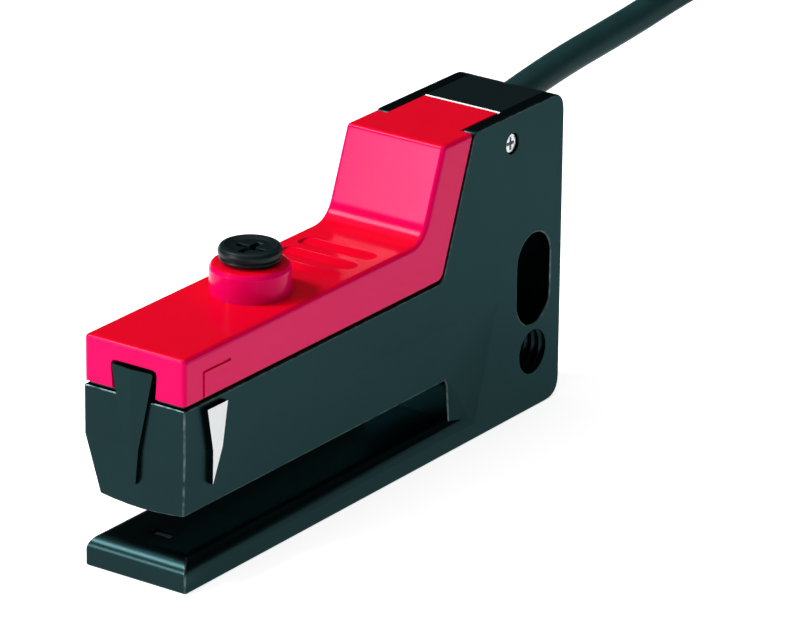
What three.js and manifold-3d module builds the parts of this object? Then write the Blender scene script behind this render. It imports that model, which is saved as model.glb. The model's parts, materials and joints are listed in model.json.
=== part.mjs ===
// A fork-type photoelectric sensor for labels on a web: a one-piece aluminium fork, a translucent red
// cover, a rotary sensitivity adjuster, the optics and boards inside, and its moulded-on cable.
// Millimetres, +Z up. Inside the sensor group X is counted from the tip of the fork; the group is then
// shifted so that the origin is at the middle of the sensor's footprint, on the surface it stands on.
import * as THREE from 'three';
import { mergeVertices } from 'three/addons/utils/BufferGeometryUtils.js';
import { ConvexGeometry } from 'three/addons/geometries/ConvexGeometry.js';
import Module from 'manifold-3d';

const wasm = await Module();
wasm.setup();

// ---- driving dimensions -------------------------------------------------------------------------
const LENGTH = 90;
const WIDTH = 17;
const HEIGHT = 47;
const HALF = WIDTH / 2;
const GAP = 0.3;

const CREASE_Z = 19.5;
const UNDERSIDE_Z = 10.5;
const CROWN = 0.6;
const LEAN = 1.5;
const TAPER = 1.4;
const THROAT_END = 63.2;
const THROAT_RADIUS = 1.8;
const LOWER_EDGE_Z = 2.35;
const LOWER_TOP_Z = 4.6;
const NOSE_LENGTH = 3.2;
const FACET_TOP_X = 73.9;
const FACET_LOW_X = 68.4;
const FACET_SLOPE = 0.174;

const BODY_TOP_Z = 26.7;
const COVER_BASE_Z = 27.3;
const COVER_TOP_Z = 34;
const COVER_WALL = 1.5;
const CREST_X = 60;
const SLOPE_FOOT_X = 55;
const COVER_REAR_LOW_X = 59.6;
const COVER_REAR_TOP_X = 66.8;
const COVER_END_X = 76.1;
const INNER_HALF = 6.6;
const REAR_TOP_RADIUS = 3;
const REAR_BASE_RADIUS = 3.2;

const AXIS_X = 6.4;
const POINTER_PROUD = 0.75;
const POINTER_TIP_Z = 14;
const FRONT_POINTER_TOP_Z = 31;
const FRONT_POINTER_HALF = 3.5;
const SIDE_POINTER_TOP_Z = 25.8;
const SIDE_POINTER_HALF = 2.25;

const ADJUSTER_X = 26;
const BOSS_RADIUS = 5.7;
const BOSS_TOP_Z = 38.4;
const BOSS_BORE = 3.1;
const KNOB_RADIUS = 4.5;
const KNOB_BASE_Z = BOSS_TOP_Z + 0.3;
const KNOB_TOP_Z = 40.9;

const GRIP_FAR_X = [47.8, 43.3, 38.8];
const GRIP_WIDTH = 2.9;
const GRIP_HALF_LENGTH = 6.3;
const GRIP_DEPTH = 0.8;

const SLOT_X = 83;
const SLOT_WIDTH = 8.4;
const SLOT_LOW_Z = 13.3;
const SLOT_HIGH_Z = 27.2;
const THREAD_Z = 8.9;
const THREAD_MINOR = 3.4;
const THREAD_MAJOR = 4;
const THREAD_PITCH = 1.25;
const SIDE_SCREW_X = 76.9;
const SIDE_SCREW_Z = 42.6;
const SIDE_SCREW_RADIUS = 1.4;

const CAVITY_FLOOR_Z = 13.2;
const CAVITY_END_X = 75;
const CAVITY_HALF = 6.2;
const INSERT_BASE_Z = 38;
const DUCT = { front: 66.5, rear: 72.5, half: 2.8 };
const CHANNEL = { front: 3.6, half: 4.6, top: 2.9 };
const STRIP = { front: 2.6, rear: 74, half: 5.4, thick: 0.9 };

const BOARD_Z = 19.6;
const BOARD_THICK = 1.2;

const CABLE_RADIUS = 2.3;
const CABLE_BORE = CABLE_RADIUS + GAP;
const BORE_RISE = 0.15;
const BORE_X = 90;
const BORE_Z = 44.7;
const SHEATH_START_X = 77.2;
const CRIMP = { front: 77.7, rear: 80.5, radius: 3.05 };

const SENSOR_SHIFT = -(LENGTH - POINTER_PROUD) / 2;

// The cable in the sensor's final frame: out of the end piece, held level by its own stiffness, then down
// onto the hank that its length is folded into. The hank is an inner and an outer column of oval turns.
const CABLE_ROUTE = [
  [32.6, 0, 42.78], [38.4, 0, 43.65], [45.4, 0, 44.7], [52.4, 0, 45.65], [59.4, 0, 46.4], [67.4, 0, 47],
  [76.4, 0, 47.7], [85.4, 0, 48.6], [94.4, 0, 49.3], [103, 0.2, 49.6], [111, 0.4, 49.2], [119, 0.8, 47.3],
  [126.8, 1.2, 44.2], [133.5, 1.5, 40.4], [139.8, 1.8, 36.2], [145.6, 2, 32.5],
];
const HANK = { centre: [164.8, -11.75], halfRun: 16, inner: 14, outer: 18.6, base: 0.8 };
const HANK_LAYERS = { count: 6, pitch: 4.65, slack: 0.1 };
const HANK_TOP = HANK.base + HANK_LAYERS.count * HANK_LAYERS.pitch + HANK_LAYERS.slack;
const STEP_FLOOR = HANK_TOP - HANK_LAYERS.pitch;
const TAIL_X = 149;
const TIE = { front: 173.7, rear: 177.1, thick: 0.5 };
const CORE_RADIUS = 0.6;
const FERRULE_RADIUS = 0.68;

const FINISH = {
  anodised: { color: 0x1d2627, roughness: 0.42, metalness: 0.7 },
  red: { color: 0xd5153a, roughness: 0.18, metalness: 0 },
  black: { color: 0x141617, roughness: 0.4, metalness: 0 },
  rubber: { color: 0x1b1d1e, roughness: 0.8, metalness: 0 },
  cable: { color: 0x2c3535, roughness: 0.65, metalness: 0 },
  steel: { color: 0xc9ced1, roughness: 0.25, metalness: 1 },
  board: { color: 0x1c5f3a, roughness: 0.5, metalness: 0 },
  chip: { color: 0x1a1a1c, roughness: 0.5, metalness: 0 },
  glass: { color: 0xdfeaf0, roughness: 0.05, metalness: 0 },
  amber: { color: 0xb8862c, roughness: 0.4, metalness: 0 },
  green: { color: 0x3fae4a, roughness: 0.3, metalness: 0 },
  yellow: { color: 0xe0b52a, roughness: 0.3, metalness: 0 },
  blue: { color: 0x2a5bb0, roughness: 0.5, metalness: 0 },
  brown: { color: 0x6a4226, roughness: 0.5, metalness: 0 },
  white: { color: 0xe9eaea, roughness: 0.5, metalness: 0 },
  copper: { color: 0xb9bcbe, roughness: 0.35, metalness: 1 },
};

// ---- helpers ------------------------------------------------------------------------------------
function solid(geometry) {
  const bare = geometry.clone();
  bare.deleteAttribute('normal');
  bare.deleteAttribute('uv');
  const merged = mergeVertices(bare, 1e-4);
  const vertProperties = new Float32Array(merged.attributes.position.array);
  const triVerts = new Uint32Array(merged.index.array);
  return new wasm.Manifold(new wasm.Mesh({ numProp: 3, vertProperties, triVerts }));
}

function geometryOf(manifold) {
  const { vertProperties, triVerts } = manifold.getMesh();
  const geometry = new THREE.BufferGeometry();
  geometry.setAttribute('position', new THREE.BufferAttribute(vertProperties, 3));
  geometry.setIndex(new THREE.BufferAttribute(triVerts, 1));
  return geometry;
}

function piece(name, shape, finish) {
  const geometry = shape instanceof THREE.BufferGeometry ? shape : geometryOf(shape);
  const mesh = new THREE.Mesh(geometry, new THREE.MeshStandardMaterial(FINISH[finish]));
  mesh.name = name;
  return mesh;
}

// A closed outline from corners [a, b, radius]; a corner with a radius is rounded off.
function outline(corners) {
  const shape = new THREE.Shape();
  corners.forEach(([a, b, radius = 0], i) => {
    const corner = new THREE.Vector2(a, b);
    const before = new THREE.Vector2(...corners.at(i - 1));
    const after = new THREE.Vector2(...corners[(i + 1) % corners.length]);
    const toBefore = before.sub(corner).normalize();
    const toAfter = after.sub(corner).normalize();
    const halfAngle = Math.acos(toBefore.dot(toAfter)) / 2;
    const reach = radius / Math.tan(halfAngle);
    const start = corner.clone().addScaledVector(toBefore, reach);
    const end = corner.clone().addScaledVector(toAfter, reach);
    if (i === 0) shape.moveTo(start.x, start.y);
    else shape.lineTo(start.x, start.y);
    if (radius > 0) shape.quadraticCurveTo(a, b, end.x, end.y);
  });
  shape.closePath();
  return shape;
}

function extrude(shape, depth, curveSegments = 5) {
  return new THREE.ExtrudeGeometry(shape, { depth, bevelEnabled: false, curveSegments });
}

function prismXZ(corners, low, high, segments) {
  return solid(extrude(outline(corners), high - low, segments).rotateX(Math.PI / 2).translate(0, high, 0));
}

function prismYZ(corners, low, high, segments) {
  const turn = new THREE.Matrix4().set(0, 0, 1, low, 1, 0, 0, 0, 0, 1, 0, 0, 0, 0, 0, 1);
  return solid(extrude(outline(corners), high - low, segments).applyMatrix4(turn));
}

function prismXY(corners, low, high, segments) {
  return solid(extrude(outline(corners), high - low, segments).translate(0, 0, low));
}

function box(x0, x1, y0, y1, z0, z1) {
  const geometry = new THREE.BoxGeometry(x1 - x0, y1 - y0, z1 - z0);
  return solid(geometry.translate((x0 + x1) / 2, (y0 + y1) / 2, (z0 + z1) / 2));
}

function hull(points) {
  return solid(new ConvexGeometry(points.map((p) => new THREE.Vector3(...p))));
}

// A turned shape about Z from [radius, height] pairs that start and end on the axis or close up.
function turned(profile, segments = 24) {
  const points = profile.map(([r, z]) => new THREE.Vector2(r, z));
  return new THREE.LatheGeometry(points, segments).rotateX(Math.PI / 2);
}

function disc(radius, low, high, x, y, segments = 20) {
  return solid(turned([[0, low], [radius, low], [radius, high], [0, high]], segments)).translate([x, y, 0]);
}

function ringProfile(inner, outer, low, high) {
  return [[inner, low], [outer, low], [outer, high], [inner, high], [inner, low]];
}

function pinAlongY(radius, y0, y1, x, z, segments = 20) {
  const geometry = new THREE.CylinderGeometry(radius, radius, y1 - y0, segments);
  return solid(geometry.translate(x, (y0 + y1) / 2, z));
}

// A cylinder about the inclined axis of the cable's bore, from x0 to x1.
function alongBore(radius, x0, x1, segments = 20) {
  const tilt = Math.atan(BORE_RISE);
  const length = (x1 - x0) / Math.cos(tilt);
  const middle = (x0 + x1) / 2;
  const geometry = new THREE.CylinderGeometry(radius, radius, length, segments).rotateZ(-Math.PI / 2);
  return solid(geometry.rotateY(-tilt).translate(middle, 0, BORE_Z + BORE_RISE * (middle - BORE_X)));
}

function tube(points, radius, sides, steps) {
  const places = points.map((p) => new THREE.Vector3(...p));
  const curve = new THREE.CatmullRomCurve3(places, false, 'centripetal');
  const section = new THREE.Shape();
  for (let i = 0; i < sides; i += 1) {
    const angle = (2 * Math.PI * i) / sides;
    const place = [radius * Math.cos(angle), radius * Math.sin(angle)];
    if (i === 0) section.moveTo(...place);
    else section.lineTo(...place);
  }
  section.closePath();
  return new THREE.ExtrudeGeometry(section, { extrudePath: curve, steps, curveSegments: 1 });
}

// ---- fork body ----------------------------------------------------------------------------------
function forkBlock() {
  const profile = [
    [0, 0, 0.4], [LENGTH, 0, REAR_BASE_RADIUS], [LENGTH, HEIGHT, REAR_TOP_RADIUS],
    [COVER_REAR_TOP_X + 0.7, HEIGHT, 0.8], [COVER_REAR_LOW_X + 0.4, BODY_TOP_Z, 1.6], [0, BODY_TOP_Z],
  ];
  return prismXZ(profile, -HALF, HALF, 6);
}

// The section of everything that is milled away along the arms: the throat with its crowned roof and
// rounded floor edges, and the two tapered flanks above it.
function armVoid() {
  const wide = HALF + 2;
  const radius = LOWER_TOP_Z - LOWER_EDGE_Z;
  const underHalf = HALF - TAPER;
  const shape = new THREE.Shape();
  shape.moveTo(-wide, LOWER_EDGE_Z);
  shape.lineTo(-HALF, LOWER_EDGE_Z);
  shape.absarc(-HALF + radius, LOWER_EDGE_Z, radius, Math.PI, Math.PI / 2, true);
  shape.absarc(HALF - radius, LOWER_EDGE_Z, radius, Math.PI / 2, 0, true);
  shape.lineTo(wide, LOWER_EDGE_Z);
  shape.lineTo(wide, CREASE_Z);
  shape.lineTo(HALF, CREASE_Z);
  shape.lineTo(underHalf, UNDERSIDE_Z);
  shape.quadraticCurveTo(0, UNDERSIDE_Z - 2 * CROWN, -underHalf, UNDERSIDE_Z);
  shape.lineTo(-HALF, CREASE_Z);
  shape.lineTo(-wide, CREASE_Z);
  shape.closePath();
  const reach = FACET_TOP_X + 12;
  const turn = new THREE.Matrix4().set(0, 0, 1, -10, 1, 0, 0, 0, 0, 1, 0, 0, 0, 0, 0, 1);
  return solid(extrude(shape, reach, 6).applyMatrix4(turn));
}

// The part of the arm's milling that reaches past the throat: outside a sloping facet on each flank.
function facetReach(side) {
  const low = LOWER_EDGE_Z - 1;
  const high = CREASE_Z + 1;
  const drop = (FACET_TOP_X - FACET_LOW_X) / (CREASE_Z - LOWER_EDGE_Z);
  const edgeX = (z) => FACET_TOP_X - drop * (CREASE_Z - z);
  const points = [];
  for (const z of [low, high]) {
    const far = edgeX(z) + 2 / FACET_SLOPE;
    points.push([far, side * (HALF + 2), z]);
    points.push([-10, side * (HALF + 2), z]);
    points.push([-10, side * (HALF - FACET_SLOPE * (edgeX(z) + 10)), z]);
  }
  return hull(points);
}

function throatReach() {
  const outlineXZ = [
    [-10, 0], [THROAT_END, 0], [THROAT_END, UNDERSIDE_Z + 0.5, THROAT_RADIUS],
    [-10, UNDERSIDE_Z + 0.5],
  ];
  return prismXZ(outlineXZ, -HALF - 3, HALF + 3, 4);
}

function noseCut() {
  const shape = new THREE.Shape();
  const rise = LOWER_TOP_Z - LOWER_EDGE_Z;
  shape.moveTo(-2, LOWER_EDGE_Z);
  shape.lineTo(0, LOWER_EDGE_Z);
  shape.absellipse(NOSE_LENGTH, LOWER_EDGE_Z, NOSE_LENGTH, rise, Math.PI, Math.PI / 2, true);
  shape.lineTo(NOSE_LENGTH, LOWER_TOP_Z + 1);
  shape.lineTo(-2, LOWER_TOP_Z + 1);
  shape.closePath();
  return solid(extrude(shape, WIDTH + 4, 6).rotateX(Math.PI / 2).translate(0, HALF + 2, 0));
}

function leanCut() {
  const slope = LEAN / (CREASE_Z - UNDERSIDE_Z);
  const low = UNDERSIDE_Z - 2;
  const wedge = [[-2, CREASE_Z], [0, CREASE_Z], [slope * (CREASE_Z - low), low], [-2, low]];
  return prismXZ(wedge, -HALF - 2, HALF + 2);
}

// A V-shaped pointer that stands proud of the leaning front or of a tapered flank.
function pointerEnvelope(proud, topZ) {
  const flare = (z) => (z > CREASE_Z ? 0 : (CREASE_Z - z) / (CREASE_Z - UNDERSIDE_Z));
  const points = [];
  for (const z of [UNDERSIDE_Z, CREASE_Z, topZ]) {
    const front = LEAN * flare(z) - proud;
    const flank = HALF - TAPER * flare(z) + proud;
    points.push([front, flank, z], [front, -flank, z], [30, flank, z], [30, -flank, z]);
  }
  return hull(points);
}

// The front pointer's two faces meet in a ridge down its middle, upright first and then leaning back.
function pointerRidge() {
  const slope = LEAN / (CREASE_Z - UNDERSIDE_Z);
  const levels = [FRONT_POINTER_TOP_Z + 1, CREASE_Z, POINTER_TIP_Z - 0.5].map((z) => {
    const ridge = slope * Math.max(0, CREASE_Z - z) - POINTER_PROUD;
    return [[ridge, 0, z], [ridge + 0.42, 4, z], [ridge + 0.42, -4, z], [8, 4, z], [8, -4, z]];
  });
  return hull([...levels[0], ...levels[1]]).add(hull([...levels[1], ...levels[2]]));
}

function frontPointer() {
  const wedge = prismYZ([[0, POINTER_TIP_Z], [FRONT_POINTER_HALF, FRONT_POINTER_TOP_Z, 0.4],
    [-FRONT_POINTER_HALF, FRONT_POINTER_TOP_Z, 0.4]], -2, LEAN + 0.2, 3);
  const envelope = pointerEnvelope(POINTER_PROUD, FRONT_POINTER_TOP_Z + 1);
  const proud = wedge.intersect(envelope).intersect(pointerRidge());
  return proud.subtract(box(1.2, 4, -HALF, HALF, CAVITY_FLOOR_Z + 6, FRONT_POINTER_TOP_Z + 1));
}

function sidePointer(side) {
  const y0 = side > 0 ? HALF - TAPER - 0.2 : -HALF - 2;
  const y1 = side > 0 ? HALF + 2 : -HALF + TAPER + 0.2;
  const wedge = prismXZ([[AXIS_X, POINTER_TIP_Z], [AXIS_X + SIDE_POINTER_HALF, SIDE_POINTER_TOP_Z],
    [AXIS_X - SIDE_POINTER_HALF, SIDE_POINTER_TOP_Z]], y0, y1);
  return wedge.intersect(pointerEnvelope(POINTER_PROUD, SIDE_POINTER_TOP_Z + 1));
}

function upperCavity() {
  const trough = prismXZ([[2.4, CAVITY_FLOOR_Z, 1], [CAVITY_END_X, CAVITY_FLOOR_Z, 2], [CAVITY_END_X, 50],
    [2.4, 50]], -CAVITY_HALF, CAVITY_HALF, 3);
  const between = prismXZ([[COVER_REAR_LOW_X - 4, BODY_TOP_Z + 1.5], [CAVITY_END_X, BODY_TOP_Z + 1.5],
    [CAVITY_END_X, INSERT_BASE_Z - GAP], [LENGTH + 2, INSERT_BASE_Z - GAP], [LENGTH + 2, 50],
    [COVER_REAR_LOW_X - 4, 50]], -INNER_HALF, INNER_HALF);
  return trough.add(between);
}

function threadedHole() {
  const turns = Math.ceil(WIDTH / THREAD_PITCH) + 2;
  const profile = [[0, 0], [THREAD_MINOR, 0]];
  for (let i = 0; i < turns; i += 1) {
    profile.push([THREAD_MINOR, (i + 0.15) * THREAD_PITCH]);
    profile.push([THREAD_MAJOR, (i + 0.55) * THREAD_PITCH]);
    profile.push([THREAD_MINOR, (i + 0.95) * THREAD_PITCH]);
  }
  profile.push([0, (turns - 0.05) * THREAD_PITCH]);
  const cutter = turned(profile, 18).rotateX(-Math.PI / 2);
  return solid(cutter).translate([SLOT_X, -HALF - THREAD_PITCH, THREAD_Z]);
}

function fixingSlot() {
  const radius = SLOT_WIDTH / 2 - 0.01;
  const low = SLOT_X - SLOT_WIDTH / 2;
  const high = SLOT_X + SLOT_WIDTH / 2;
  const shape = new THREE.Shape();
  shape.moveTo(low, SLOT_HIGH_Z - radius);
  shape.absarc(SLOT_X, SLOT_LOW_Z + radius, SLOT_WIDTH / 2, Math.PI, 2 * Math.PI, false);
  shape.lineTo(high, SLOT_HIGH_Z - radius);
  shape.absarc(SLOT_X, SLOT_HIGH_Z - radius, SLOT_WIDTH / 2, 0, Math.PI, false);
  shape.closePath();
  return solid(extrude(shape, WIDTH + 4, 12).rotateX(Math.PI / 2).translate(0, HALF + 2, 0));
}

function lowerChannel() {
  const seatHalf = STRIP.half + GAP;
  const strip = box(STRIP.front - GAP, STRIP.rear + GAP, -seatHalf, seatHalf, -1, STRIP.thick + GAP);
  const channel = box(CHANNEL.front, DUCT.rear, -CHANNEL.half, CHANNEL.half, -1, CHANNEL.top);
  const duct = box(DUCT.front, DUCT.rear, -DUCT.half, DUCT.half, 0, CAVITY_FLOOR_Z + 1);
  return strip.add(channel).add(duct);
}

// The slit in the lower arm that the emitter shines through, and the round one above it.
function opticalPorts() {
  const slit = box(AXIS_X - 0.85, AXIS_X + 0.85, -1.7, 1.7, CHANNEL.top - 1, LOWER_TOP_Z + 1);
  return slit.add(disc(2.1, UNDERSIDE_Z - 2, CAVITY_FLOOR_Z + 1, AXIS_X, 0));
}

function sideScrewSeats() {
  const seat = (y0, y1) => pinAlongY(SIDE_SCREW_RADIUS + 0.2, y0, y1, SIDE_SCREW_X, SIDE_SCREW_Z, 18);
  return seat(-HALF - 1, -INNER_HALF + 1).add(seat(INNER_HALF - 1, HALF + 1));
}

function forkBody() {
  const milled = armVoid().intersect(throatReach().add(facetReach(1)).add(facetReach(-1)));
  return forkBlock()
    .subtract(milled)
    .subtract(noseCut())
    .subtract(leanCut())
    .add(frontPointer())
    .add(sidePointer(1))
    .add(sidePointer(-1))
    .subtract(upperCavity())
    .subtract(fixingSlot())
    .subtract(threadedHole())
    .subtract(lowerChannel())
    .subtract(opticalPorts())
    .subtract(sideScrewSeats());
}

// ---- cover --------------------------------------------------------------------------------------
function gripRecess(farX) {
  const nearX = farX - GRIP_WIDTH;
  const round = GRIP_WIDTH / 2 - 0.01;
  const ends = [[nearX, -GRIP_HALF_LENGTH, round], [farX, -GRIP_HALF_LENGTH, round],
    [farX, GRIP_HALF_LENGTH, round], [nearX, GRIP_HALF_LENGTH, round]];
  const slot = prismXY(ends, COVER_TOP_Z - 2, COVER_TOP_Z + 1, 4);
  const ramp = prismXZ([[nearX - 1, COVER_TOP_Z - GRIP_DEPTH - 0.2], [farX + 0.01, COVER_TOP_Z - 0.05],
    [farX + 0.01, COVER_TOP_Z + 2], [nearX - 1, COVER_TOP_Z + 2]], -HALF, HALF);
  return slot.intersect(ramp);
}

function cornerGroove(side) {
  const y0 = side > 0 ? HALF - 0.25 : -HALF - 1;
  const y1 = side > 0 ? HALF + 1 : -HALF + 0.25;
  return box(4, 4.5, y0, y1, COVER_BASE_Z - 1, 31.3).add(box(4, 10.3, y0, y1, 30.85, 31.3));
}

function adjusterBoss() {
  const edge = BOSS_TOP_Z - 0.8;
  const profile = [[0, COVER_TOP_Z - 1], [BOSS_RADIUS, COVER_TOP_Z - 1], [BOSS_RADIUS, edge],
    [BOSS_RADIUS - 0.3, BOSS_TOP_Z - 0.25], [BOSS_RADIUS - 0.9, BOSS_TOP_Z], [0, BOSS_TOP_Z]];
  return solid(turned(profile, 32)).translate([ADJUSTER_X, 0, 0]);
}

// The opening in the cover's front that leaves the front pointer free.
function pointerNotch() {
  const half = FRONT_POINTER_HALF + 0.45;
  const top = FRONT_POINTER_TOP_Z + 0.4;
  return prismYZ([[3.05, 20], [half, top, 0.9], [-half, top, 0.9], [-3.05, 20]], -1, COVER_WALL + 0.3, 4);
}

function topCover() {
  const outer = prismXZ([[0, COVER_BASE_Z], [COVER_REAR_LOW_X, COVER_BASE_Z, 1.6],
    [COVER_REAR_TOP_X, HEIGHT], [CREST_X, HEIGHT, 0.9], [SLOPE_FOOT_X, COVER_TOP_Z, 4.5],
    [0, COVER_TOP_Z, 0.8]], -HALF, HALF, 6);
  const tongueHalf = INNER_HALF - GAP;
  const tongue = box(CREST_X + 2, COVER_END_X, -tongueHalf, tongueHalf, HEIGHT - 3, HEIGHT);
  const innerHalf = HALF - COVER_WALL;
  const ceiling = HEIGHT - COVER_WALL;
  const lowCeiling = COVER_TOP_Z - COVER_WALL;
  const inner = prismXZ([[COVER_WALL, 20], [80, 20], [80, ceiling], [61.3, ceiling],
    [56.2, lowCeiling, 5], [COVER_WALL, lowCeiling]], -innerHalf, innerHalf, 4);
  const cuts = [
    disc(BOSS_BORE, 20, BOSS_TOP_Z + 1, ADJUSTER_X, 0, 24),
    pointerNotch(),
    cornerGroove(1),
    cornerGroove(-1),
    ...GRIP_FAR_X.map(gripRecess),
  ];
  const shell = outer.add(tongue).subtract(inner).add(adjusterBoss());
  return cuts.reduce((cover, cut) => cover.subtract(cut), shell);
}

function coverGasket() {
  const low = BODY_TOP_Z + 0.05;
  const high = COVER_BASE_Z - 0.05;
  const rear = COVER_REAR_LOW_X - 2.5;
  const frame = box(0.6, rear, -HALF + 0.6, HALF - 0.6, low, high);
  return frame
    .subtract(box(2.2, rear + 1, -HALF + 2, HALF - 2, low - 1, high + 1))
    .subtract(box(0, 1.5, -3.6, 3.6, low - 1, high + 1));
}

// ---- adjuster -----------------------------------------------------------------------------------
function crossRecess(reach, half, low, high) {
  return box(-reach, reach, -half, half, low, high).add(box(-half, half, -reach, reach, low, high));
}

function adjusterKnob() {
  const stemLow = 27.4;
  const [radius, base, top] = [KNOB_RADIUS, KNOB_BASE_Z, KNOB_TOP_Z];
  const stem = [[0, stemLow], [2.4, stemLow], [2.4, base]];
  const bead = [[radius - 0.45, base], [radius - 0.1, base + 0.35], [radius - 0.35, base + 0.7]];
  const rim = [[radius - 0.05, base + 0.85], [radius, top - 0.75], [radius - 0.3, top - 0.2],
    [radius - 0.8, top]];
  const dish = [[radius - 1.4, top - 0.35], [radius - 1.8, top - 0.55], [0, top - 0.55]];
  const groove = solid(turned(ringProfile(1.9, 3, 35.2, 36.4), 20));
  const socket = disc(1.5, stemLow - 1, 32, 0, 0);
  return solid(turned([...stem, ...bead, ...rim, ...dish], 32))
    .subtract(crossRecess(2.3, 0.5, top - 1.5, top + 1))
    .subtract(groove)
    .subtract(socket)
    .translate([ADJUSTER_X, 0, 0]);
}

function placedRing(inner, outer, low, high, segments = 20) {
  return solid(turned(ringProfile(inner, outer, low, high), segments)).translate([ADJUSTER_X, 0, 0]);
}

function potentiometerBase() {
  const low = BOARD_Z + BOARD_THICK + 0.05;
  const corners = [[-3.5, -3.5, 0.6], [3.5, -3.5, 0.6], [3.5, 3.5, 0.6], [-3.5, 3.5, 0.6]];
  const seat = disc(2, low + 1.2, 27, 0, 0);
  return prismXY(corners, low, 26, 2).subtract(seat).translate([ADJUSTER_X, 0, 0]);
}

function potentiometerRotor() {
  const low = BOARD_Z + BOARD_THICK + 1.6;
  const profile = [[0, low], [1.7, low], [1.7, 26.6], [1.2, 26.8], [1.2, 31.6], [0, 31.6]];
  return solid(turned(profile, 18)).translate([ADJUSTER_X, 0, 0]);
}

// ---- end piece, side screws and inner cable parts -------------------------------------------------
function cableEndPiece() {
  const front = 73.5;
  const rear = LENGTH - 0.05;
  const shelf = HEIGHT - COVER_WALL - GAP;
  const half = INNER_HALF - GAP / 2;
  const profile = [[front, INSERT_BASE_Z], [rear, INSERT_BASE_Z], [rear, HEIGHT, REAR_TOP_RADIUS],
    [COVER_END_X + GAP, HEIGHT, 0.35], [COVER_END_X + GAP, shelf], [front, shelf]];
  const screwSeat = (y0, y1) => pinAlongY(1.15, y0, y1, SIDE_SCREW_X, SIDE_SCREW_Z, 16);
  return prismXZ(profile, -half, half, 6)
    .subtract(alongBore(CABLE_BORE, 70, LENGTH + 6))
    .subtract(alongBore(CRIMP.radius + GAP, CRIMP.front - GAP, CRIMP.rear + GAP))
    .subtract(screwSeat(-HALF, -3.4))
    .subtract(screwSeat(3.4, HALF));
}

function crimpRing() {
  const bore = alongBore(CABLE_BORE, CRIMP.front - 1, CRIMP.rear + 1);
  return alongBore(CRIMP.radius, CRIMP.front, CRIMP.rear).subtract(bore);
}

function sideScrew(side) {
  const headOut = HALF - 0.35;
  const sign = (a, b) => (side > 0 ? [a, b] : [-b, -a]);
  const head = pinAlongY(SIDE_SCREW_RADIUS, ...sign(INNER_HALF + 0.1, headOut), SIDE_SCREW_X, SIDE_SCREW_Z);
  const shank = pinAlongY(0.85, ...sign(3.8, INNER_HALF + 0.6), SIDE_SCREW_X, SIDE_SCREW_Z, 12);
  const bar = (dx, dz) => {
    const [y0, y1] = sign(headOut - 0.7, headOut + 0.5);
    return box(SIDE_SCREW_X - dx, SIDE_SCREW_X + dx, y0, y1, SIDE_SCREW_Z - dz, SIDE_SCREW_Z + dz);
  };
  return head.add(shank).subtract(bar(0.95, 0.22).add(bar(0.22, 0.95)));
}

function innerCore(index) {
  const y = (index - 1.5) * 1.27;
  const z = BORE_Z + BORE_RISE * (SHEATH_START_X - BORE_X);
  const route = [[SHEATH_START_X - 0.4, y, z - 0.1], [75.6, y, z - 0.4], [72.2, y, z - 1.5],
    [69.8, y, z - 5], [69, y, 32], [69.3, y, 26], [70, y, BOARD_Z + BOARD_THICK + 0.7]];
  return tube(route, CORE_RADIUS, 8, 14);
}

// ---- boards and optics ----------------------------------------------------------------------------
function mainBoard() {
  const board = box(3, 73.6, -5.7, 5.7, BOARD_Z, BOARD_Z + BOARD_THICK);
  return board.subtract(box(65.8, 68.2, -2.5, 2.5, BOARD_Z - 1, BOARD_Z + 3));
}

function onBoard(x, dx, dy, dz, y = 0) {
  const low = BOARD_Z + BOARD_THICK + 0.05;
  return box(x - dx / 2, x + dx / 2, y - dy / 2, y + dy / 2, low, low + dz);
}

// A block on the optical axis, given by its half sizes and its two heights.
function opticBlock(halfX, halfY, low, high) {
  return box(AXIS_X - halfX, AXIS_X + halfX, -halfY, halfY, low, high);
}

function receiverLens() {
  const curve = [[0, 12.75], [2.6, 12.75], [2.6, 13.3], [2.2, 13.8], [1.5, 14.25], [0.8, 14.5], [0, 14.6]];
  return solid(turned(curve, 20)).translate([AXIS_X, 0, 0.75]);
}

function receiverTube() {
  return solid(turned(ringProfile(2.9, 3.7, 13.3, 18.9), 20)).translate([AXIS_X, 0, 0]);
}

function flexLead() {
  const low = 2.1;
  const thick = 0.3;
  const rear = 67.2;
  const level = [[29, low], [rear, low]];
  const upright = [[rear, 21.6], [rear - thick, 21.6], [rear - thick, low + thick]];
  return prismXZ([...level, ...upright, [29, low + thick]], -2, 2);
}

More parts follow.
